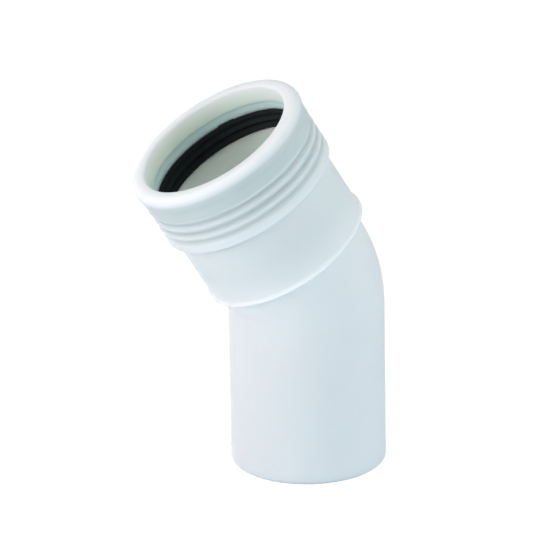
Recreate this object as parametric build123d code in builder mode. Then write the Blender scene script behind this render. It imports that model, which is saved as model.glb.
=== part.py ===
"""Push-fit waste pipe bend: plain spigot, 30 degree turn, and a socket with a lip seal in its collar.

Millimetres, +Z up. The origin is the centre of the spigot's foot, on which the bend stands. The
socket leans towards -X, and both ends share the XZ plane.
"""

import os
from math import degrees

from build123d import *

# Pipe that the bend joins
pipe_diameter = 50.0
pipe_wall = 1.8

# Spigot and turn
spigot_length = 53.4  # foot to the start of the turn
spigot_edge = 0.8  # chamfer that leads the spigot into the next socket
bend_angle = 30.0
throat_radius = 2.0  # inside of the turn
neck_length = 6.5  # end of the turn to the socket's shoulder

# Socket
pipe_clearance = 0.25  # between a pipe and the socket's bore
socket_wall = 2.15
socket_depth = 44.2  # mouth to the pipe stop
shoulder_thickness = 2.0
bead_width = 1.4
bead_height = 0.8

# Collar round the seal
collar_length = 22.2
collar_wall = 2.2  # over the seal groove, at the ridges' crests
ridge_grooves = 3
ridge_pitch = 3.5
ridge_depth = 0.75
last_band = 2.4  # collar's foot to the first ridge groove
rim_overhang = 0.6  # rolled rim beyond the ridges' crests
rim_rounding = 2.8
rim_facets = 3  # cones that make up the rounding
rim_flare = 2.4  # length over which the band widens to the rim
mouth_chamfer = 0.7

# Recess and seal groove inside the collar
mouth_land = 6.5  # mouth to the recess
recess_length = 3.45  # recess to the seal groove
recess_depth = 0.5
groove_length = 7.25
groove_depth = 2.15

# Rubber seal
seal_clearance = 0.05
lip_count = 3
lip_drop = 1.2  # top of a lip down to its edge
lip_growth = 0.45  # reach that each lip gains on the one above it
seal_squeeze = 0.6  # last lip's reach inside the pipe's surface
mark_height = 0.5  # raised mark on the seal, in front of the recess
mark_width = 6.0
mark_thickness = 0.3
mark_turn = 72.0  # place of the mark round the socket, from the outside of the bend

# Radii worked out from the pipe
pipe_radius = pipe_diameter / 2
bore_radius = pipe_radius - pipe_wall
bend_radius = pipe_radius + throat_radius
socket_radius = pipe_radius + pipe_clearance
wall_radius = socket_radius + socket_wall
bead_radius = wall_radius + bead_height
recess_radius = socket_radius + recess_depth
groove_radius = socket_radius + groove_depth
collar_radius = groove_radius + collar_wall
rim_radius = collar_radius + rim_overhang

# Heights along the socket's axis, from the end of the turn
shoulder = neck_length
bead_top = shoulder + bead_width
stop = shoulder + shoulder_thickness
mouth = stop + socket_depth
collar_foot = mouth - collar_length
ridge_start = collar_foot + last_band
ridge_end = ridge_start + ridge_grooves * ridge_pitch
recess_top = mouth - mouth_land
groove_top = recess_top - recess_length
groove_bottom = groove_top - groove_length

# Route of the pipe: straight spigot, then the turn
with BuildLine(Plane.XZ) as route:
    straight = Line((0, 0), (0, spigot_length))
    turn = JernArc(straight @ 1, straight % 1, bend_radius, bend_angle)

socket_axis = Axis(turn @ 1, turn % 1)
socket_side = (turn % 1).cross(Vector(0, -1, 0))
socket_plane = Plane(origin=turn @ 1, x_dir=socket_side, z_dir=(0, -1, 0))

with BuildPart() as bend_body:
    # Spigot and turn are one tube along the route
    with BuildSketch(Plane.XY):
        Circle(pipe_radius)
        Circle(bore_radius, mode=Mode.SUBTRACT)
    sweep(path=route.wires()[0])

    # Neck, shoulder, socket and collar are one half-section turned about the socket's axis
    with BuildSketch(socket_plane):
        with BuildLine():
            # Neck, shoulder, bead and socket wall, then the step out to the collar
            Polyline(
                (bore_radius, 0),
                (pipe_radius, 0),
                (pipe_radius, shoulder),
                (bead_radius, shoulder),
                (wall_radius, bead_top),
                (wall_radius, collar_foot),
                (collar_radius, collar_foot),
                (collar_radius, ridge_start),
            )

            # Ridged stretch
            for groove in range(ridge_grooves):
                low = ridge_start + groove * ridge_pitch
                Polyline(
                    (collar_radius, low),
                    (collar_radius - ridge_depth, low + ridge_pitch / 2),
                    (collar_radius, low + ridge_pitch),
                )

            # Rim, whose rounding is drawn as a few cones
            rim_centre = Vector(rim_radius - rim_rounding, mouth - rim_rounding)
            rim_turns = [90 * step / rim_facets for step in range(rim_facets + 1)]
            rim = [rim_centre + Vector(rim_rounding, 0).rotate(Axis.Z, turned) for turned in rim_turns]

            # Smooth band, rim, mouth land, recess, seal groove, socket bore and pipe stop
            Polyline(
                (collar_radius, ridge_end),
                (collar_radius, mouth - rim_rounding - rim_flare),
                *rim,
                (socket_radius + mouth_chamfer, mouth),
                (socket_radius, mouth - mouth_chamfer),
                (socket_radius, recess_top),
                (recess_radius, recess_top),
                (recess_radius, groove_top),
                (groove_radius, groove_top),
                (groove_radius, groove_bottom),
                (socket_radius, groove_bottom),
                (socket_radius, stop),
                (bore_radius, stop),
                (bore_radius, 0),
            )
        make_face()
    revolve(axis=socket_axis)

    # Leading edge of the spigot
    foot_rim = bend_body.edges().group_by(Axis.Z)[0].sort_by(SortBy.RADIUS)[-1]
    chamfer(foot_rim, spigot_edge)

bend_body.part.label = "bend_body"

# Seal: a back ring in the groove, with lips that lean inwards and grow towards the pipe stop
seal_outer = groove_radius - seal_clearance
seal_inner = recess_radius
seal_back = seal_outer - seal_inner
seal_top = groove_top - seal_clearance
seal_height = seal_top - groove_bottom
lip_pitch = seal_height / lip_count
mark_radius = seal_inner - seal_clearance - mark_thickness / 2
mark_arc = degrees(mark_width / mark_radius)
mark_side = socket_side.rotate(Axis((0, 0, 0), turn % 1), mark_turn - mark_arc / 2)
mark_plane = Plane(origin=turn @ 1, x_dir=mark_side, z_dir=mark_side.cross(turn % 1))

with BuildPart() as seal_ring:
    with BuildSketch(socket_plane):
        with Locations((seal_inner + seal_back / 2, groove_bottom + seal_height / 2)):
            Rectangle(seal_back, seal_height)
        for lip in range(lip_count):
            lip_reach = seal_squeeze - (lip_count - 1 - lip) * lip_growth
            lip_top = seal_top - lip * lip_pitch
            Polygon(
                (seal_inner, lip_top),
                (pipe_radius - lip_reach, lip_top - lip_drop),
                (seal_inner, lip_top - lip_pitch),
                align=None,
            )
    revolve(axis=socket_axis)

    # Raised mark, which stands on the first lip
    with BuildSketch(mark_plane):
        with Locations((mark_radius, seal_top - lip_drop)):
            Rectangle(mark_thickness, lip_drop + mark_height, align=(Align.CENTER, Align.MIN))
    revolve(axis=socket_axis, revolution_arc=mark_arc)

seal_ring.part.label = "seal_ring"

os.makedirs("parts", exist_ok=True)
export_step(bend_body.part, "parts/bend_body.step")
export_step(seal_ring.part, "parts/seal_ring.step")
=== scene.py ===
"""Push-fit waste pipe bend: the white moulded bend and the black lip seal in its socket.

Metres, +Z up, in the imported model's frame. The origin is the centre of the spigot's foot, and the
socket leans towards -X. Places along the pipe are measured from the end of the turn: the socket lies
above it, the turn and the spigot below it.
"""

import logging
from collections.abc import Callable
from dataclasses import dataclass
from enum import Enum
from math import atan2, ceil, cos, pi, radians, sin, tan

import bpy
from mathutils import Matrix, Vector

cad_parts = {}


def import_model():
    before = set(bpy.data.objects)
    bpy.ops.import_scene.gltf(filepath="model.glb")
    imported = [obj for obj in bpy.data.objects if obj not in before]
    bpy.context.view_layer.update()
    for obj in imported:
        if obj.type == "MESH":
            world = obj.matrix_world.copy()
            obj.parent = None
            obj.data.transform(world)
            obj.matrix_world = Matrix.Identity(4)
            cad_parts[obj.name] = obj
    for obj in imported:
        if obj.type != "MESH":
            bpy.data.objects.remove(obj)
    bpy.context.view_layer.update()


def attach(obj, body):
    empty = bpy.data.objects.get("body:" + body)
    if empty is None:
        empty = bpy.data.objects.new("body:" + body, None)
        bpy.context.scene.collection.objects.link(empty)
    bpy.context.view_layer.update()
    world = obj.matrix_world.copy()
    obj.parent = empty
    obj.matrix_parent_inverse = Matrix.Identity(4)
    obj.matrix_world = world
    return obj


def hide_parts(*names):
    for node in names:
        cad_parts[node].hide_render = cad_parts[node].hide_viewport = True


log = logging.getLogger("waste_pipe_bend")

MM = 0.001
BODY = "root"


class Slot(Enum):
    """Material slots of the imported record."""

    WHITE_PLASTIC = "white_plastic"
    BLACK_RUBBER = "black_rubber"


class NodeKind(Enum):
    """Shader nodes that the finishes are made of."""

    ADD_SHADER = "ShaderNodeAddShader"
    ATTRIBUTE = "ShaderNodeAttribute"
    BACKGROUND = "ShaderNodeBackground"
    BUMP = "ShaderNodeBump"
    COORDINATES = "ShaderNodeTexCoord"
    DIFFUSE = "ShaderNodeBsdfDiffuse"
    EMISSION = "ShaderNodeEmission"
    LIGHT_PATH = "ShaderNodeLightPath"
    MAPPING = "ShaderNodeMapping"
    MATERIAL_OUTPUT = "ShaderNodeOutputMaterial"
    MATH = "ShaderNodeMath"
    MIX_COLOUR = "ShaderNodeMixRGB"
    MIX_SHADER = "ShaderNodeMixShader"
    NOISE = "ShaderNodeTexNoise"
    RAMP = "ShaderNodeValToRGB"
    RANGE = "ShaderNodeMapRange"
    WORLD_OUTPUT = "ShaderNodeOutputWorld"


Colour = tuple[float, float, float]
WHITE: Colour = (1.0, 1.0, 1.0)


def opaque(colour: Colour) -> tuple[float, float, float, float]:
    """Gives a colour the full opacity that a colour socket asks for."""
    return (*colour, 1.0)


def clamped(value: float, most: float = 1.0) -> float:
    """Keeps a value between nothing and the most that it may be."""
    return min(max(value, 0.0), most)


@dataclass
class NodeBench:
    """Puts shader nodes into one node tree and joins them.

    Args:
        tree: The node tree of a material or a world.
        noise_low: Lower third of a noise's span.
        noise_high: Upper third of a noise's span.
    """

    tree: bpy.types.NodeTree
    noise_low: float = 0.33
    noise_high: float = 0.67

    def add(self, kind: NodeKind, **inputs: object) -> bpy.types.ShaderNode:
        """Adds a node and sets its sockets.

        Args:
            kind: Which node to add.
            inputs: Values by socket name, with underscores for the spaces.

        Returns:
            The new node.
        """
        node = self.tree.nodes.new(kind.value)
        for name, value in inputs.items():
            node.inputs[name.replace("_", " ")].default_value = value
        return node

    def noise(self, source: bpy.types.NodeSocket, scale: float, detail: float) -> bpy.types.NodeSocket:
        """Adds a noise texture.

        Args:
            source: Coordinates that the noise reads.
            scale: Noise cells to a unit of those coordinates.
            detail: Octaves of finer noise.

        Returns:
            The noise's strength, from 0 to 1.
        """
        node = self.add(NodeKind.NOISE, Scale=scale, Detail=detail)
        self.join(source, node.inputs["Vector"])
        return node.outputs["Fac"]

    def spread(self, source: bpy.types.NodeSocket, low: float, high: float) -> bpy.types.NodeSocket:
        """Maps the middle of a noise's span to a range of values.

        Args:
            source: Noise strength.
            low: Value at the noise's lower third.
            high: Value at the noise's upper third.

        Returns:
            The mapped value.
        """
        node = self.add(
            NodeKind.RANGE,
            From_Min=self.noise_low,
            From_Max=self.noise_high,
            To_Min=low,
            To_Max=high,
        )
        self.join(source, node.inputs["Value"])
        return node.outputs["Result"]

    def ramp(self, source: bpy.types.NodeSocket, dark: Colour, light: Colour) -> bpy.types.NodeSocket:
        """Adds a ramp between two colours over the middle of a noise's span.

        Args:
            source: Noise strength.
            dark: Colour at the low end.
            light: Colour at the high end.

        Returns:
            The ramp's colour.
        """
        node = self.add(NodeKind.RAMP)
        low, high = node.color_ramp.elements
        low.position = self.noise_low
        low.color = opaque(dark)
        high.position = self.noise_high
        high.color = opaque(light)
        self.join(source, node.inputs["Fac"])
        return node.outputs["Color"]

    def tint(
        self, source: bpy.types.NodeSocket, filtered: Colour, share: bpy.types.NodeSocket
    ) -> bpy.types.NodeSocket:
        """Filters a colour.

        Args:
            source: Colour to filter.
            filtered: Factor on each of red, green and blue.
            share: How much of the filter is used.

        Returns:
            The filtered colour.
        """
        node = self.add(NodeKind.MIX_COLOUR, Color2=opaque(filtered))
        node.blend_type = "MULTIPLY"
        self.join(share, node.inputs["Fac"])
        self.join(source, node.inputs["Color1"])
        return node.outputs["Color"]

    def bump(
        self,
        height: bpy.types.NodeSocket,
        strength: float,
        depth: float,
        under: bpy.types.NodeSocket | None = None,
    ) -> bpy.types.NodeSocket:
        """Adds a bump on top of another one.

        Args:
            height: Noise that gives the height.
            strength: How much of the bump shows.
            depth: Height of the bump in metres.
            under: Normal that this bump adds to.

        Returns:
            The bumped normal.
        """
        node = self.add(NodeKind.BUMP, Strength=strength, Distance=depth)
        self.join(height, node.inputs["Height"])
        if under is not None:
            self.join(under, node.inputs["Normal"])
        return node.outputs["Normal"]

    def seen_rays(self) -> bpy.types.NodeSocket:
        """Finds the rays that show the background: those of the camera, of gloss and of glass.

        Returns:
            1 for those rays and 0 for the rest.
        """
        path = self.add(NodeKind.LIGHT_PATH)
        seen = path.outputs["Is Camera Ray"]
        for name in ("Is Glossy Ray", "Is Transmission Ray"):
            either = self.add(NodeKind.MATH)
            either.operation = "MAXIMUM"
            self.join(seen, either.inputs[0])
            self.join(path.outputs[name], either.inputs[1])
            seen = either.outputs["Value"]
        return seen

    def show(self, lighting: bpy.types.NodeSocket, seen: bpy.types.NodeSocket, output: NodeKind) -> None:
        """Ends a background's tree, so that it looks one way and lights the object in another.

        Args:
            lighting: Shader for the rays that light the object.
            seen: Shader for the rays that show the background.
            output: Which output node the tree ends with.
        """
        chosen = self.add(NodeKind.MIX_SHADER)
        self.join(self.seen_rays(), chosen.inputs["Fac"])
        self.join(lighting, chosen.inputs[1])
        self.join(seen, chosen.inputs[2])
        self.join(chosen.outputs["Shader"], self.add(output).inputs["Surface"])

    def join(self, source: bpy.types.NodeSocket, target: bpy.types.NodeSocket) -> None:
        """Links one socket to another."""
        self.tree.links.new(source, target)


@dataclass(frozen=True)
class MouldedPlastic:
    """White polypropylene: slightly cloudy, a little translucent, with faint draw lines along the mould.

    Args:
        pale: Colour of the clearer patches.
        cloud: Colour of the denser patches.
        cloud_scale: Patches to a metre.
        cloud_detail: Octaves of finer patches.
        grain_scale: Grains of the mould's surface to a metre.
        grain_detail: Octaves of finer grains.
        grain_strength: How much of the grain shows.
        grain_depth: Height of the grain.
        draw_scale: Draw lines to a radian round the pipe.
        draw_stretch: Width of a draw line against its length.
        draw_detail: Octaves of finer lines.
        draw_strength: How much of the lines shows.
        draw_depth: Height of the lines.
        smooth: Roughness of the glossier patches.
        rough: Roughness of the duller patches.
        gloss: Strength of the surface's own reflection.
        seal_and_shade_tint: Factor on each colour for painted shade under the rim, in the grooves, below
            the collar and in the recess, partly the seal showing through the ridges.
        painted_inside_shade: Factor on each colour inside the pipe, painted shade in the greenish grey
            of the light inside it.
        painted_recess_shade: Factor on each colour in the recess above the seal, painted shade under the
            land.
        scatter: Share of the light that enters the plastic.
        scatter_depth: How far that light travels.
        scatter_tint: How far each colour travels, against the depth.
    """

    pale: Colour = (0.814, 0.848, 0.852)
    cloud: Colour = (0.794, 0.83, 0.832)
    cloud_scale: float = 38.0
    cloud_detail: float = 3.0
    grain_scale: float = 1500.0
    grain_detail: float = 2.0
    grain_strength: float = 0.12
    grain_depth: float = 0.04 * MM
    draw_scale: float = 26.0
    draw_stretch: float = 0.06
    draw_detail: float = 3.0
    draw_strength: float = 0.15
    draw_depth: float = 0.08 * MM
    smooth: float = 0.48
    rough: float = 0.62
    gloss: float = 0.13
    seal_and_shade_tint: Colour = (0.63, 0.695, 0.675)
    painted_inside_shade: Colour = (0.925, 1.02, 0.915)
    painted_recess_shade: Colour = (0.82, 1.02, 0.985)
    scatter: float = 1.0
    scatter_depth: float = 7.0 * MM
    scatter_tint: Colour = (1.2, 1.0, 1.0)

    def material(self) -> bpy.types.Material:
        """Makes the material.

        Returns:
            The finished plastic.
        """
        made = bpy.data.materials.new("moulded_white_plastic")
        made.use_nodes = True
        bench = NodeBench(made.node_tree)
        shader = made.node_tree.nodes["Principled BSDF"]
        place = bench.add(NodeKind.COORDINATES).outputs["Object"]
        turned = bench.add(NodeKind.ATTRIBUTE)
        turned.attribute_name = TurnedMesh.COORDINATES
        drawn = bench.add(NodeKind.MAPPING, Scale=(1.0, 1.0, self.draw_stretch))
        bench.join(turned.outputs["Vector"], drawn.inputs["Vector"])

        clouds = bench.noise(place, self.cloud_scale, self.cloud_detail)
        grain = bench.noise(place, self.grain_scale, self.grain_detail)
        lines = bench.noise(drawn.outputs["Vector"], self.draw_scale, self.draw_detail)
        colour = bench.ramp(clouds, self.cloud, self.pale)
        # Painted shade: tints that darken the band under the rim, the grooves, the socket below the
        # collar, the inside of the pipe and the recess; on the ridges partly the seal showing through.
        tints = {
            TurnedMesh.SEAL_AND_PAINTED_SHADE: self.seal_and_shade_tint,
            TurnedMesh.INSIDE: self.painted_inside_shade,
            TurnedMesh.RECESS: self.painted_recess_shade,
        }
        for name, filtered in tints.items():
            share = bench.add(NodeKind.ATTRIBUTE)
            share.attribute_name = name
            colour = bench.tint(colour, filtered, share.outputs["Fac"])
        bench.join(colour, shader.inputs["Base Color"])
        bench.join(bench.spread(lines, self.smooth, self.rough), shader.inputs["Roughness"])
        grained = bench.bump(grain, self.grain_strength, self.grain_depth)
        drawn_over = bench.bump(lines, self.draw_strength, self.draw_depth, grained)
        bench.join(drawn_over, shader.inputs["Normal"])
        shader.inputs["Specular IOR Level"].default_value = self.gloss
        shader.inputs["Subsurface Weight"].default_value = self.scatter
        shader.inputs["Subsurface Radius"].default_value = self.scatter_tint
        shader.inputs["Subsurface Scale"].default_value = self.scatter_depth
        return made


@dataclass(frozen=True)
class SealRubber:
    """Black moulded rubber: dull, with a fine skin and a trace of talc.

    Args:
        black: Colour of the bare rubber.
        dusty: Colour where talc is left.
        dust_scale: Patches of talc to a metre.
        dust_detail: Octaves of finer patches.
        skin_scale: Grains of the rubber's skin to a metre.
        skin_detail: Octaves of finer grains.
        skin_strength: How much of the skin's grain shows.
        skin_depth: Height of the skin's grain.
        smooth: Roughness of the bare rubber.
        rough: Roughness of the dusty rubber.
        gloss: Strength of the surface's own reflection.
    """

    black: Colour = (0.008, 0.0115, 0.012)
    dusty: Colour = (0.0125, 0.017, 0.018)
    dust_scale: float = 260.0
    dust_detail: float = 4.0
    skin_scale: float = 2600.0
    skin_detail: float = 2.0
    skin_strength: float = 0.3
    skin_depth: float = 0.05 * MM
    smooth: float = 0.6
    rough: float = 0.8
    gloss: float = 0.08

    def material(self) -> bpy.types.Material:
        """Makes the material.

        Returns:
            The finished rubber.
        """
        made = bpy.data.materials.new("seal_black_rubber")
        made.use_nodes = True
        bench = NodeBench(made.node_tree)
        shader = made.node_tree.nodes["Principled BSDF"]
        place = bench.add(NodeKind.COORDINATES).outputs["Object"]
        dust = bench.noise(place, self.dust_scale, self.dust_detail)
        skin = bench.noise(place, self.skin_scale, self.skin_detail)
        bench.join(bench.ramp(dust, self.black, self.dusty), shader.inputs["Base Color"])
        bench.join(bench.spread(dust, self.smooth, self.rough), shader.inputs["Roughness"])
        bench.join(bench.bump(skin, self.skin_strength, self.skin_depth), shader.inputs["Normal"])
        shader.inputs["Specular IOR Level"].default_value = self.gloss
        return made


@dataclass(frozen=True)
class Corner:
    """One corner of a turned section.

    Args:
        along: Place along the pipe, from the end of the turn.
        radius: Distance from the pipe's axis.
        rounding: Radius of the corner's rounding.
    """

    along: float
    radius: float
    rounding: float = 0.0


@dataclass(frozen=True)
class Route:
    """Line that the pipe follows: straight spigot, turn, straight socket.

    Args:
        spigot_length: Foot to the start of the turn.
        bend_radius: Radius of the turn's middle line.
        bend_angle: Angle of the turn.
    """

    spigot_length: float = 53.4 * MM
    bend_radius: float = 27.0 * MM
    bend_angle: float = radians(30.0)

    @property
    def turn_length(self) -> float:
        """Length of the turn along its middle line."""
        return self.bend_radius * self.bend_angle

    @property
    def foot(self) -> float:
        """Place of the spigot's foot along the pipe."""
        return -self.turn_length - self.spigot_length

    def centre(self, along: float) -> Vector:
        """Finds a point of the line.

        Args:
            along: Place along the pipe.

        Returns:
            The point on the pipe's axis.
        """
        if along < -self.turn_length:
            return Vector((0.0, 0.0, along - self.foot))
        angle = self.lean(along)
        turn = Vector((cos(angle) - 1.0, 0.0, sin(angle))) * self.bend_radius
        beyond = Vector((-sin(angle), 0.0, cos(angle))) * max(along, 0.0)
        return Vector((0.0, 0.0, self.spigot_length)) + turn + beyond

    def side(self, along: float) -> Vector:
        """Finds the direction towards the outside of the bend.

        Args:
            along: Place along the pipe.

        Returns:
            The unit vector, square to the axis.
        """
        angle = self.lean(along)
        return Vector((cos(angle), 0.0, sin(angle)))

    def lean(self, along: float) -> float:
        """Finds how far the pipe has turned.

        Args:
            along: Place along the pipe.

        Returns:
            The angle from the spigot's axis.
        """
        return clamped(along + self.turn_length, self.turn_length) / self.bend_radius


@dataclass
class Section:
    """Closed half-section of a turned piece, as corners in order round it.

    Args:
        corners: The corners, each with its rounding.
        arc_step: Largest turn between two points of a rounding.
        fewest_steps: Steps that a rounding has at least.
        support: Distance of the extra point that keeps a flat beside a rounding flat.
        shortest: Shortest flat that is divided, in support distances.
        longest: Longest stretch without a point.
    """

    corners: list[Corner]
    arc_step: float = radians(15.0)
    fewest_steps: int = 2
    support: float = 0.15 * MM
    shortest: float = 4.0
    longest: float = 2.2 * MM

    def points(self) -> list[Vector]:
        """Rounds the corners and divides the flats between them.

        Returns:
            Points as (along, radius), in order round the section.
        """
        arcs = [self.rounded(index) for index in range(len(self.corners))]
        points: list[Vector] = []
        for arc, following in zip(arcs, arcs[1:] + arcs[:1]):
            points += arc
            points += self.divided(arc, following)
        return points

    def rounded(self, index: int) -> list[Vector]:
        """Finds the points that stand for one corner.

        Args:
            index: Which corner.

        Returns:
            The points of its rounding, or the corner itself where it has none.
        """
        corner = self.corners[index]
        here = self.flat_point(index)
        if corner.rounding == 0.0:
            return [here]
        back = (self.flat_point(index - 1) - here).normalized()
        ahead = (self.flat_point(index + 1) - here).normalized()
        half = back.angle(ahead) / 2
        inwards = (back + ahead).normalized()
        middle = here + inwards * (corner.rounding / sin(half))
        start = here + back * (corner.rounding / tan(half)) - middle
        turn = pi - 2 * half
        hand = 1.0 if back.x * ahead.y - back.y * ahead.x < 0.0 else -1.0
        steps = max(self.fewest_steps, ceil(turn / self.arc_step))
        spin = [Matrix.Rotation(hand * turn * step / steps, 2) for step in range(steps + 1)]
        return [middle + rotation @ start for rotation in spin]

    def divided(self, arc: list[Vector], following: list[Vector]) -> list[Vector]:
        """Divides the flat between two corners.

        Args:
            arc: Points of the corner before the flat.
            following: Points of the corner after it.

        Returns:
            The points between them.
        """
        start, end = arc[-1], following[0]
        flat = end - start
        if flat.length < self.shortest * self.support:
            return []
        first = self.support / flat.length if len(arc) > 1 else 0.0
        last = self.support / flat.length if len(following) > 1 else 0.0
        steps = ceil(flat.length * (1.0 - first - last) / self.longest)
        shares = [first + (1.0 - first - last) * step / steps for step in range(steps + 1)]
        return [start + flat * share for share in shares if 0.0 < share < 1.0]

    def flat_point(self, index: int) -> Vector:
        """Gives a corner as a point, counting round the section."""
        corner = self.corners[index % len(self.corners)]
        return Vector((corner.along, corner.radius))


@dataclass
class TurnedMesh:
    """Mesh of a section carried round the pipe's axis.

    Args:
        name: Name of the object.
        section: Half-section of the piece.
        route: Line that the piece follows.
        segments: Divisions round the axis.
    """

    COORDINATES = "turned"
    # Share of the painted shade under the rim, in the grooves, below the collar and under the land,
    # partly the seal showing through the ridges.
    SEAL_AND_PAINTED_SHADE = "seal_and_painted_shade"
    # Mask for the painted shade inside the pipe.
    INSIDE = "inside"
    # Mask for the painted shade in the recess.
    RECESS = "recess"

    name: str
    section: Section
    route: Route
    segments: int = 240

    def build(
        self,
        lift: Callable[[Vector, float], float] | None = None,
        shares: dict[str, Callable[[Vector], float]] | None = None,
    ) -> bpy.types.Object:
        """Builds the object and puts it into the scene.

        Args:
            lift: Gives how far a point of the section is raised along the axis at an angle round it.
            shares: Attributes for the finish by name, with what gives each at a point of the section.

        Returns:
            The new object, smooth shaded.
        """
        points = self.section.points()
        angles = [2 * pi * step / self.segments for step in range(self.segments)]
        vertices: list[Vector] = []
        coordinates: list[float] = []
        for point in points:
            for angle in angles:
                along = point.x + (lift(point, angle) if lift else 0.0)
                across = self.route.side(along) * cos(angle) + Vector((0.0, sin(angle), 0.0))
                vertices.append(self.route.centre(along) + across * point.y)
                coordinates += [cos(angle), sin(angle), along / self.route.bend_radius]
        mesh = bpy.data.meshes.new(self.name)
        mesh.from_pydata(vertices, [], self.faces(len(points)))
        attribute = mesh.attributes.new(self.COORDINATES, "FLOAT_VECTOR", "POINT")
        attribute.data.foreach_set("vector", coordinates)
        for name, share in (shares or {}).items():
            values = [value for value in map(share, points) for _ in angles]
            mesh.attributes.new(name, "FLOAT", "POINT").data.foreach_set("value", values)
        mesh.shade_smooth()
        mesh.update()
        made = bpy.data.objects.new(self.name, mesh)
        bpy.context.scene.collection.objects.link(made)
        return made

    def faces(self, rings: int) -> list[tuple[int, int, int, int]]:
        """Joins the rings of points into a closed skin.

        Args:
            rings: Number of rings.

        Returns:
            The quads, facing outwards.
        """
        quads = []
        for ring in range(rings):
            low = ring * self.segments
            high = (ring + 1) % rings * self.segments
            for step in range(self.segments):
                beside = (step + 1) % self.segments
                quads.append((low + step, low + beside, high + beside, high + step))
        return quads


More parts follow.
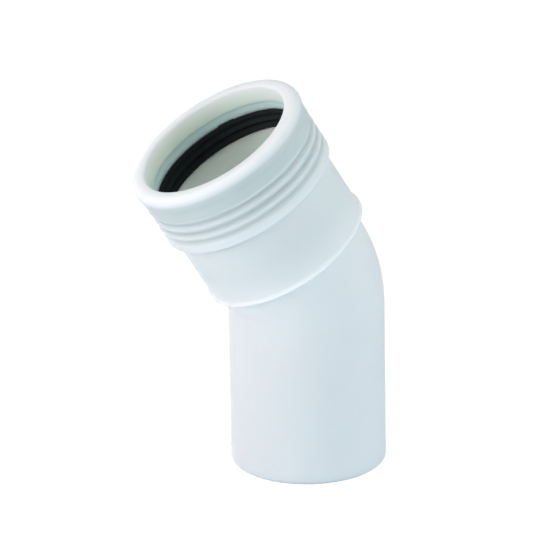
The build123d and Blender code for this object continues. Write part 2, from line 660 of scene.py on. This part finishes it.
@dataclass
class BendBody:
    """White moulding: spigot, turn, and socket with a bead at its foot and a ridged collar at its mouth.

    Args:
        route: Line that the pipe follows.
        pipe_radius: Outside of the spigot.
        bore_radius: Waterway.
        socket_radius: Bore that takes the pipe.
        wall_radius: Outside of the socket's wall.
        bead_radius: Crest of the bead at the socket's foot.
        recess_radius: Wall of the shallow recess above the seal.
        groove_radius: Wall of the seal groove.
        collar_radius: Crests of the collar's ridges.
        rim_radius: Widest part of the rim.
        shoulder: Foot of the socket.
        bead_width: Height of the bead above the shoulder.
        stop: Ledge that a pipe meets.
        groove_bottom: Lower wall of the seal groove.
        groove_top: Upper wall of the seal groove.
        recess_top: Lower end of the land at the mouth.
        collar_foot: Lower end of the collar.
        ridge_start: Lower end of the ridged stretch.
        ridge_pitch: One groove to the next.
        ridge_grooves: Number of grooves.
        ridge_depth: Depth of a groove.
        ridge_steps: Points to a groove.
        mouth: Upper end of the socket.
        rim_rounding: Rounding of the rim's outer edge.
        rim_height: Mouth to the place where the rim is widest.
        rim_flare: Length over which the band widens to the rim.
        foot_rounding: Rounding of the foot's inner edge.
        lead_rounding: Rounding of the foot's outer edge, which leads it into the next socket.
        neck_rounding: Rounding between the neck and the shoulder.
        bead_crest: Share of the bead's width that its crest takes up.
        bead_foot_rounding: Rounding of the crest's lower edge.
        bead_crest_rounding: Rounding of the crest's upper edge.
        wall_rounding: Rounding where the socket's wall meets the bead and the collar.
        collar_rounding: Rounding of the collar's lower edge.
        band_rounding: Rounding where the band above the ridges starts to widen.
        rim_crest_rounding: Rounding where the rim is widest.
        mouth_rounding: Rounding of the mouth's inner edge.
        recess_rounding: Rounding of the recess's edges and corner.
        groove_rounding: Rounding of the seal groove's corners.
        ledge_rounding: Rounding of the edge that the seal lies on.
        stop_rounding: Rounding of the pipe stop's corner and edge.
        mouth_fade: Length over which the painted shade inside the pipe comes in at each end.
        clear_rim: Mouth to the place where the painted shade under the rim starts.
        fade_up: Length over which it comes in below the rim.
        fade_down: Length over which it goes out down the socket below the collar, painted shade under
            the collar.
        ridge_share: How much of it the ridges take, where the seal also shows through.
        valley_share: How much of it the grooves between two ridges take, painted shade in the grooves.
        recess_shade: How much of it shows in the recess, painted shade under the land.
        edge_skin: Margin for the points on an edge.
    """

    route: Route
    pipe_radius: float = 25.0 * MM
    bore_radius: float = 23.2 * MM
    socket_radius: float = 25.25 * MM
    wall_radius: float = 27.4 * MM
    bead_radius: float = 28.2 * MM
    recess_radius: float = 25.75 * MM
    groove_radius: float = 27.4 * MM
    collar_radius: float = 29.6 * MM
    rim_radius: float = 30.2 * MM
    shoulder: float = 6.5 * MM
    bead_width: float = 1.4 * MM
    stop: float = 8.5 * MM
    groove_bottom: float = 35.5 * MM
    groove_top: float = 42.75 * MM
    recess_top: float = 46.2 * MM
    collar_foot: float = 30.5 * MM
    ridge_start: float = 32.9 * MM
    ridge_pitch: float = 3.5 * MM
    ridge_grooves: int = 3
    ridge_depth: float = 0.7 * MM
    ridge_steps: int = 16
    mouth: float = 52.7 * MM
    rim_rounding: float = 2.8 * MM
    rim_height: float = 3.1 * MM
    rim_flare: float = 2.6 * MM
    foot_rounding: float = 0.3 * MM
    lead_rounding: float = 0.9 * MM
    neck_rounding: float = 0.5 * MM
    bead_crest: float = 0.45
    bead_foot_rounding: float = 0.35 * MM
    bead_crest_rounding: float = 0.3 * MM
    wall_rounding: float = 0.25 * MM
    collar_rounding: float = 0.4 * MM
    band_rounding: float = 6.0 * MM
    rim_crest_rounding: float = 2.0 * MM
    mouth_rounding: float = 0.7 * MM
    recess_rounding: float = 0.12 * MM
    groove_rounding: float = 0.2 * MM
    ledge_rounding: float = 0.25 * MM
    stop_rounding: float = 0.4 * MM
    mouth_fade: float = 3.0 * MM
    clear_rim: float = 0.3 * MM
    fade_up: float = 2.8 * MM
    fade_down: float = 32.0 * MM
    ridge_share: float = 0.6
    valley_share: float = 0.85
    recess_shade: float = 0.35
    edge_skin: float = 0.02 * MM

    def corners(self) -> list[Corner]:
        """Draws the section, up the outside and down the bore.

        Returns:
            The corners of the section.
        """
        crest_top = self.shoulder + self.bead_crest * self.bead_width
        outside = [
            Corner(self.route.foot, self.bore_radius, self.foot_rounding),
            Corner(self.route.foot, self.pipe_radius, self.lead_rounding),
            Corner(self.shoulder, self.pipe_radius, self.neck_rounding),
            Corner(self.shoulder, self.bead_radius, self.bead_foot_rounding),
            Corner(crest_top, self.bead_radius, self.bead_crest_rounding),
            Corner(self.shoulder + self.bead_width, self.wall_radius, self.wall_rounding),
            Corner(self.collar_foot, self.wall_radius, self.wall_rounding),
            Corner(self.collar_foot, self.collar_radius, self.collar_rounding),
        ]
        widest = self.mouth - self.rim_height
        rim = [
            Corner(widest - self.rim_flare, self.collar_radius, self.band_rounding),
            Corner(widest, self.rim_radius, self.rim_crest_rounding),
            Corner(self.mouth, self.rim_radius, self.rim_rounding),
            Corner(self.mouth, self.socket_radius, self.mouth_rounding),
        ]
        bore = [
            Corner(self.recess_top, self.socket_radius, self.recess_rounding),
            Corner(self.recess_top, self.recess_radius, self.recess_rounding),
            Corner(self.groove_top, self.recess_radius, self.recess_rounding),
            Corner(self.groove_top, self.groove_radius, self.groove_rounding),
            Corner(self.groove_bottom, self.groove_radius, self.groove_rounding),
            Corner(self.groove_bottom, self.socket_radius, self.ledge_rounding),
            Corner(self.stop, self.socket_radius, self.stop_rounding),
            Corner(self.stop, self.bore_radius, self.stop_rounding),
        ]
        return outside + self.ridges() + rim + bore

    def ridges(self) -> list[Corner]:
        """Draws the ridged stretch as a wave.

        Returns:
            Points of the wave, from its first crest to its last.
        """
        points = self.ridge_grooves * self.ridge_steps
        wave = [2 * pi * step / self.ridge_steps for step in range(points + 1)]
        return [
            Corner(
                self.ridge_start + self.ridge_pitch * turn / (2 * pi),
                self.collar_radius - self.ridge_depth * (1.0 - cos(turn)) / 2,
            )
            for turn in wave
        ]

    def seal_and_painted_shade(self, point: Vector) -> float:
        """Tells how much painted shade darkens the moulding, partly where the seal shows through the
        ridges.

        Args:
            point: Point of the section, as (along, radius).

        Returns:
            1 on the band above the ridges, painted shade under the rim; less on the ridges and more in
            their grooves; fading down the socket below the collar and up the recess, painted shade under
            the collar and the land; and 0 away from them.
        """
        # Recess wall: painted shade, darkest at its top under the land.
        if point.y < self.groove_radius - self.edge_skin:
            up = (point.x - self.groove_top) / (self.recess_top - self.groove_top)
            return self.recess_shade * self.recess(point) * clamped(up)
        ridge_end = self.ridge_start + self.ridge_grooves * self.ridge_pitch
        # Band above the ridges: painted shade under the rim, which leaves the rim clear.
        if point.x > ridge_end:
            return clamped((self.mouth - self.clear_rim - point.x) / self.fade_up)
        # Ridges: painted shade, deeper in the grooves, where the seal also shows through; it fades out
        # down the socket below the collar as painted shade under the collar.
        groove_share = 0.0
        if point.x > self.ridge_start:
            groove_share = (self.collar_radius - point.y) / self.ridge_depth
        most = self.ridge_share + (self.valley_share - self.ridge_share) * groove_share
        return clamped((point.x - self.collar_foot + self.fade_down) / self.fade_down, most)

    def recess(self, point: Vector) -> float:
        """Tells whether a point lies on the wall of the recess.

        Args:
            point: Point of the section, as (along, radius).

        Returns:
            1 on the wall, and 0 everywhere else.
        """
        # Mask for the painted shade on the recess wall.
        skin = self.edge_skin
        across = self.socket_radius + skin < point.y < self.recess_radius + skin
        between = self.groove_top - skin < point.x < self.recess_top - skin
        return 1.0 if across and between else 0.0

    def inside(self, point: Vector) -> float:
        """Tells how far a point lies inside the pipe.

        Args:
            point: Point of the section, as (along, radius).

        Returns:
            1 on the bore and the waterway, down to 0 at both ends, and 0 everywhere else.
        """
        # Mask for the painted shade inside the pipe, faded in at both ends.
        widest = self.bore_radius if point.x < self.stop else self.socket_radius
        if point.y > widest + self.edge_skin:
            return 0.0
        from_end = min(self.mouth - point.x, point.x - self.route.foot)
        return clamped(from_end / self.mouth_fade)

    def build(self, plastic: bpy.types.Material) -> bpy.types.Object:
        """Builds the moulding in place of its CAD node.

        Args:
            plastic: Finish of the moulding.

        Returns:
            The finished piece.
        """
        # Masks of the painted shade: under the rim, in the grooves, below the collar, inside the pipe
        # and in the recess.
        shares = {
            TurnedMesh.SEAL_AND_PAINTED_SHADE: self.seal_and_painted_shade,
            TurnedMesh.INSIDE: self.inside,
            TurnedMesh.RECESS: self.recess,
        }
        turned = TurnedMesh("bend_body_moulding", Section(self.corners()), self.route)
        piece = turned.build(shares=shares)
        piece.data.materials.append(plastic)
        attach(piece, BODY)
        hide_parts("bend_body")
        return piece


@dataclass
class SealRing:
    """Black rubber ring in the seal groove, with lips that lean inwards and a raised mark on the first.

    Args:
        route: Line that the pipe follows.
        outer_radius: Back of the ring.
        inner_radius: Roots of the lips.
        lip_radius: Edge of the last lip.
        lip_growth: Reach that each lip gains on the one above it.
        lip_count: Number of lips.
        lip_drop: Top of a lip down to its edge.
        bottom: Lower face, on the wall of the groove.
        top: Upper face.
        mark_height: Height of the raised mark above the ring.
        mark_width: Width of the mark round the ring.
        mark_outer: Back of the mark, in front of the recess.
        mark_inner: Front of the mark.
        mark_edge: Lean of the mark's sides.
        mark_turn: Place of the mark round the socket, from the outside of the bend.
        lip_rounding: Rounding of a lip's edge.
        root_rounding: Rounding of the corner below a lip.
        foot_rounding: Rounding of the back's lower edge.
        back_rounding: Rounding of the back's upper edge.
        support: Distance of the extra points beside its roundings.
        segments: Divisions round the axis, close enough for the mark's sides.
    """

    route: Route
    outer_radius: float = 27.35 * MM
    inner_radius: float = 25.75 * MM
    lip_radius: float = 24.4 * MM
    lip_growth: float = 0.45 * MM
    lip_count: int = 3
    lip_drop: float = 1.2 * MM
    bottom: float = 35.5 * MM
    top: float = 42.7 * MM
    mark_height: float = 0.5 * MM
    mark_width: float = 6.0 * MM
    mark_outer: float = 25.7 * MM
    mark_inner: float = 25.4 * MM
    mark_edge: float = 0.04 * MM
    mark_turn: float = radians(72.0)
    lip_rounding: float = 0.3 * MM
    root_rounding: float = 0.2 * MM
    foot_rounding: float = 0.3 * MM
    back_rounding: float = 0.2 * MM
    support: float = 0.1 * MM
    segments: int = 360

    @property
    def pitch(self) -> float:
        """One lip to the next."""
        return (self.top - self.bottom) / self.lip_count

    def lip_edge(self, lip: int) -> Corner:
        """Finds the edge of a lip.

        Args:
            lip: Which lip, from the top.

        Returns:
            The corner at its edge.
        """
        reach = self.lip_radius + (self.lip_count - 1 - lip) * self.lip_growth
        return Corner(self.top - lip * self.pitch - self.lip_drop, reach, self.lip_rounding)

    def mark_foot(self) -> list[Corner]:
        """Finds where the mark's back and front stand on the first lip.

        Returns:
            Four corners down the lip, of which the mark raises the middle two.
        """
        edge = self.lip_edge(0)
        radii = [
            self.mark_outer,
            self.mark_outer - self.mark_edge,
            self.mark_inner + self.mark_edge,
            self.mark_inner,
        ]
        slope = self.lip_drop / (self.inner_radius - edge.radius)
        return [Corner(self.top - slope * (self.inner_radius - radius), radius) for radius in radii]

    def corners(self) -> list[Corner]:
        """Draws the section, up the back and down the lips.

        Returns:
            The corners of the section.
        """
        corners = [
            Corner(self.bottom, self.outer_radius, self.foot_rounding),
            Corner(self.top, self.outer_radius, self.back_rounding),
            Corner(self.top, self.inner_radius),
        ]
        corners += self.mark_foot()
        for lip in range(self.lip_count):
            corners.append(self.lip_edge(lip))
            root = self.top - (lip + 1) * self.pitch
            corners.append(Corner(root, self.inner_radius, self.root_rounding))
        return corners

    def mark_lift(self, point: Vector, angle: float) -> float:
        """Raises the first lip where the mark is.

        Args:
            point: Point of the section, as (along, radius).
            angle: Angle round the socket.

        Returns:
            How far the point is raised.
        """
        away = abs(atan2(sin(angle - self.mark_turn), cos(angle - self.mark_turn)))
        on_mark = away * self.outer_radius < self.mark_width / 2
        below_top = self.lip_edge(0).along < point.x < self.top
        across = self.mark_inner < point.y < self.mark_outer
        return self.top + self.mark_height - point.x if on_mark and below_top and across else 0.0

    def build(self, rubber: bpy.types.Material) -> bpy.types.Object:
        """Builds the ring in place of its CAD node.

        Args:
            rubber: Finish of the ring.

        Returns:
            The finished piece.
        """
        section = Section(self.corners(), support=self.support)
        turned = TurnedMesh("seal_ring_rubber", section, self.route, self.segments)
        piece = turned.build(lift=self.mark_lift)
        piece.data.materials.append(rubber)
        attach(piece, BODY)
        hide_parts("seal_ring")
        return piece


@dataclass(frozen=True)
class FloorFinish:
    """Pale studio floor that looks white to the camera and keeps a soft shadow.

    Args:
        colour: Colour that the floor throws back on the object.
        glow: White that the camera sees without any light.
        shade: Share of the light that the camera sees on top of it.
    """

    colour: Colour = (0.86, 0.92, 1.0)
    glow: float = 0.93
    shade: float = 0.16

    def material(self) -> bpy.types.Material:
        """Makes the material.

        Returns:
            The finished floor.
        """
        made = bpy.data.materials.new("studio_floor")
        made.use_nodes = True
        made.node_tree.nodes.clear()
        bench = NodeBench(made.node_tree)
        bounced = bench.add(NodeKind.DIFFUSE, Color=opaque(self.colour))
        shadow = bench.add(NodeKind.DIFFUSE, Color=opaque((self.shade, self.shade, self.shade)))
        glow = bench.add(NodeKind.EMISSION, Color=opaque(WHITE), Strength=self.glow)
        shown = bench.add(NodeKind.ADD_SHADER)
        bench.join(glow.outputs["Emission"], shown.inputs[0])
        bench.join(shadow.outputs["BSDF"], shown.inputs[1])
        bench.show(bounced.outputs["BSDF"], shown.outputs["Shader"], NodeKind.MATERIAL_OUTPUT)
        return made


@dataclass(frozen=True)
class SoftLamp:
    """Square lamp that points at the bend.

    Args:
        name: Name of the lamp.
        aside: How far it hangs to the right of the target, as the camera sees it.
        above: How far it hangs above the target.
        nearer: How far it hangs on the camera's side of the target.
        size: Length of its side.
        power: Watts.
        colour: Colour of its light.
    """

    name: str
    aside: float
    above: float
    nearer: float
    size: float
    power: float
    colour: Colour

    def hang(self, target: Vector, axes: tuple[Vector, Vector, Vector]) -> bpy.types.Object:
        """Puts the lamp into the scene.

        Args:
            target: Point that it looks at.
            axes: Directions towards the camera, to the right of the picture and up it.

        Returns:
            The lamp.
        """
        back, right, up = axes
        away = right * self.aside + up * self.above + back * self.nearer
        light = bpy.data.lights.new(self.name, "AREA")
        light.shape = "SQUARE"
        light.size = self.size
        light.energy = self.power
        light.color = self.colour
        lamp = bpy.data.objects.new(self.name, light)
        lamp.location = target + away
        lamp.rotation_euler = away.to_track_quat("Z", "Y").to_euler()
        bpy.context.scene.collection.objects.link(lamp)
        return lamp


@dataclass
class Studio:
    """Floor, lamps, sky and camera.

    Args:
        floor_side: Length of the floor's side.
        sky: Colour of the even light from all round.
        sky_power: Strength of that light.
        azimuth: Direction of the camera round the bend.
        elevation: Height of the camera above the horizon.
        roll: Tilt of the picture.
        distance: Camera to its target.
        target: Point in the middle of the picture.
        focal_pixels: Focal length in pixels of the picture.
        picture_pixels: Side of the picture.
        sensor: Width of the camera's sensor in millimetres.
        lamps: Lamps round the bend.
    """

    floor_side: float = 6.0
    sky: Colour = WHITE
    sky_power: float = 0.49
    azimuth: float = radians(-17.584)
    elevation: float = radians(21.339)
    roll: float = radians(-1.064)
    distance: float = 1593.0 * MM
    target: Vector = Vector((-12.017 * MM, 0.038 * MM, 65.663 * MM))
    focal_pixels: float = 5000.0
    picture_pixels: float = 540.0
    sensor: float = 36.0
    lamps: tuple[SoftLamp, ...] = (
        SoftLamp(
            "key_left",
            aside=-0.98,
            above=-0.03,
            nearer=0.38,
            size=0.7,
            power=8.8,
            colour=(1.0, 0.92, 0.96),
        ),
        SoftLamp(
            "top_right",
            aside=0.45,
            above=0.9,
            nearer=0.05,
            size=0.7,
            power=1.9,
            colour=(0.82, 1.0, 1.0),
        ),
        SoftLamp(
            "front_right",
            aside=0.5,
            above=-0.15,
            nearer=0.95,
            size=0.5,
            power=2.8,
            colour=(0.94, 0.94, 1.0),
        ),
        SoftLamp(
            "low_right",
            aside=0.68,
            above=-0.25,
            nearer=0.75,
            size=0.3,
            power=2.7,
            colour=(0.72, 0.84, 1.0),
        ),
    )

    def lay_floor(self, finish: FloorFinish) -> bpy.types.Object:
        """Lays the floor under the bend.

        Args:
            finish: Finish of the floor.

        Returns:
            The floor.
        """
        half = self.floor_side / 2
        outline = [(-half, -half, 0.0), (half, -half, 0.0), (half, half, 0.0), (-half, half, 0.0)]
        mesh = bpy.data.meshes.new("floor")
        mesh.from_pydata(outline, [], [(0, 1, 2, 3)])
        floor = bpy.data.objects.new("floor", mesh)
        floor.data.materials.append(finish.material())
        bpy.context.scene.collection.objects.link(floor)
        return floor

    def hang_lamps(self) -> list[bpy.types.Object]:
        """Hangs the lamps round the bend.

        Returns:
            The lamps.
        """
        return [lamp.hang(self.target, self.axes()) for lamp in self.lamps]

    def light_sky(self) -> bpy.types.World:
        """Sets the even light, which the camera sees as white.

        Returns:
            The world.
        """
        world = bpy.data.worlds.new("studio_sky")
        world.use_nodes = True
        world.node_tree.nodes.clear()
        bench = NodeBench(world.node_tree)
        sky = bench.add(NodeKind.BACKGROUND, Color=opaque(self.sky), Strength=self.sky_power)
        white = bench.add(NodeKind.BACKGROUND, Color=opaque(WHITE), Strength=1.0)
        bench.show(sky.outputs["Background"], white.outputs["Background"], NodeKind.WORLD_OUTPUT)
        bpy.context.scene.world = world
        return world

    def place_camera(self) -> bpy.types.Object:
        """Puts the camera where the photograph was taken from.

        Returns:
            The camera.
        """
        back, right, up = self.axes()
        turn = Matrix((right, up, back)).transposed().to_4x4()
        data = bpy.data.cameras.new("camera")
        data.sensor_fit = "HORIZONTAL"
        data.sensor_width = self.sensor
        data.lens = self.focal_pixels / self.picture_pixels * self.sensor
        camera = bpy.data.objects.new("camera", data)
        camera.matrix_world = Matrix.Translation(self.target + back * self.distance) @ turn
        bpy.context.scene.collection.objects.link(camera)
        bpy.context.scene.camera = camera
        return camera

    def axes(self) -> tuple[Vector, Vector, Vector]:
        """Finds the camera's own directions.

        Returns:
            Unit vectors towards the camera, to the right of the picture and up it.
        """
        level = cos(self.elevation)
        back = Vector((sin(self.azimuth) * level, -cos(self.azimuth) * level, sin(self.elevation)))
        right = Vector((cos(self.azimuth), sin(self.azimuth), 0.0))
        up = back.cross(right)
        tilted_right = right * cos(self.roll) + up * sin(self.roll)
        tilted_up = up * cos(self.roll) - right * sin(self.roll)
        return back, tilted_right, tilted_up


def main() -> None:
    """Loads the frame, builds the two pieces on it and sets up the studio."""
    logging.basicConfig(level=logging.INFO, format="%(name)s: %(message)s")
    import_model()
    bpy.context.scene.view_settings.view_transform = "Standard"

    route = Route()
    moulding = BendBody(route).build(MouldedPlastic().material())
    log.info("moulding: %s, %d faces", moulding.name, len(moulding.data.polygons))
    seal = SealRing(route).build(SealRubber().material())
    log.info("lip seal: %s, %d faces", seal.name, len(seal.data.polygons))

    studio = Studio()
    log.info("floor: %s", studio.lay_floor(FloorFinish()).name)
    log.info("lamps: %s", ", ".join(lamp.name for lamp in studio.hang_lamps()))
    log.info("sky: %s", studio.light_sky().name)
    log.info("camera: %s", studio.place_camera().name)


if __name__ == "__main__":
    main()
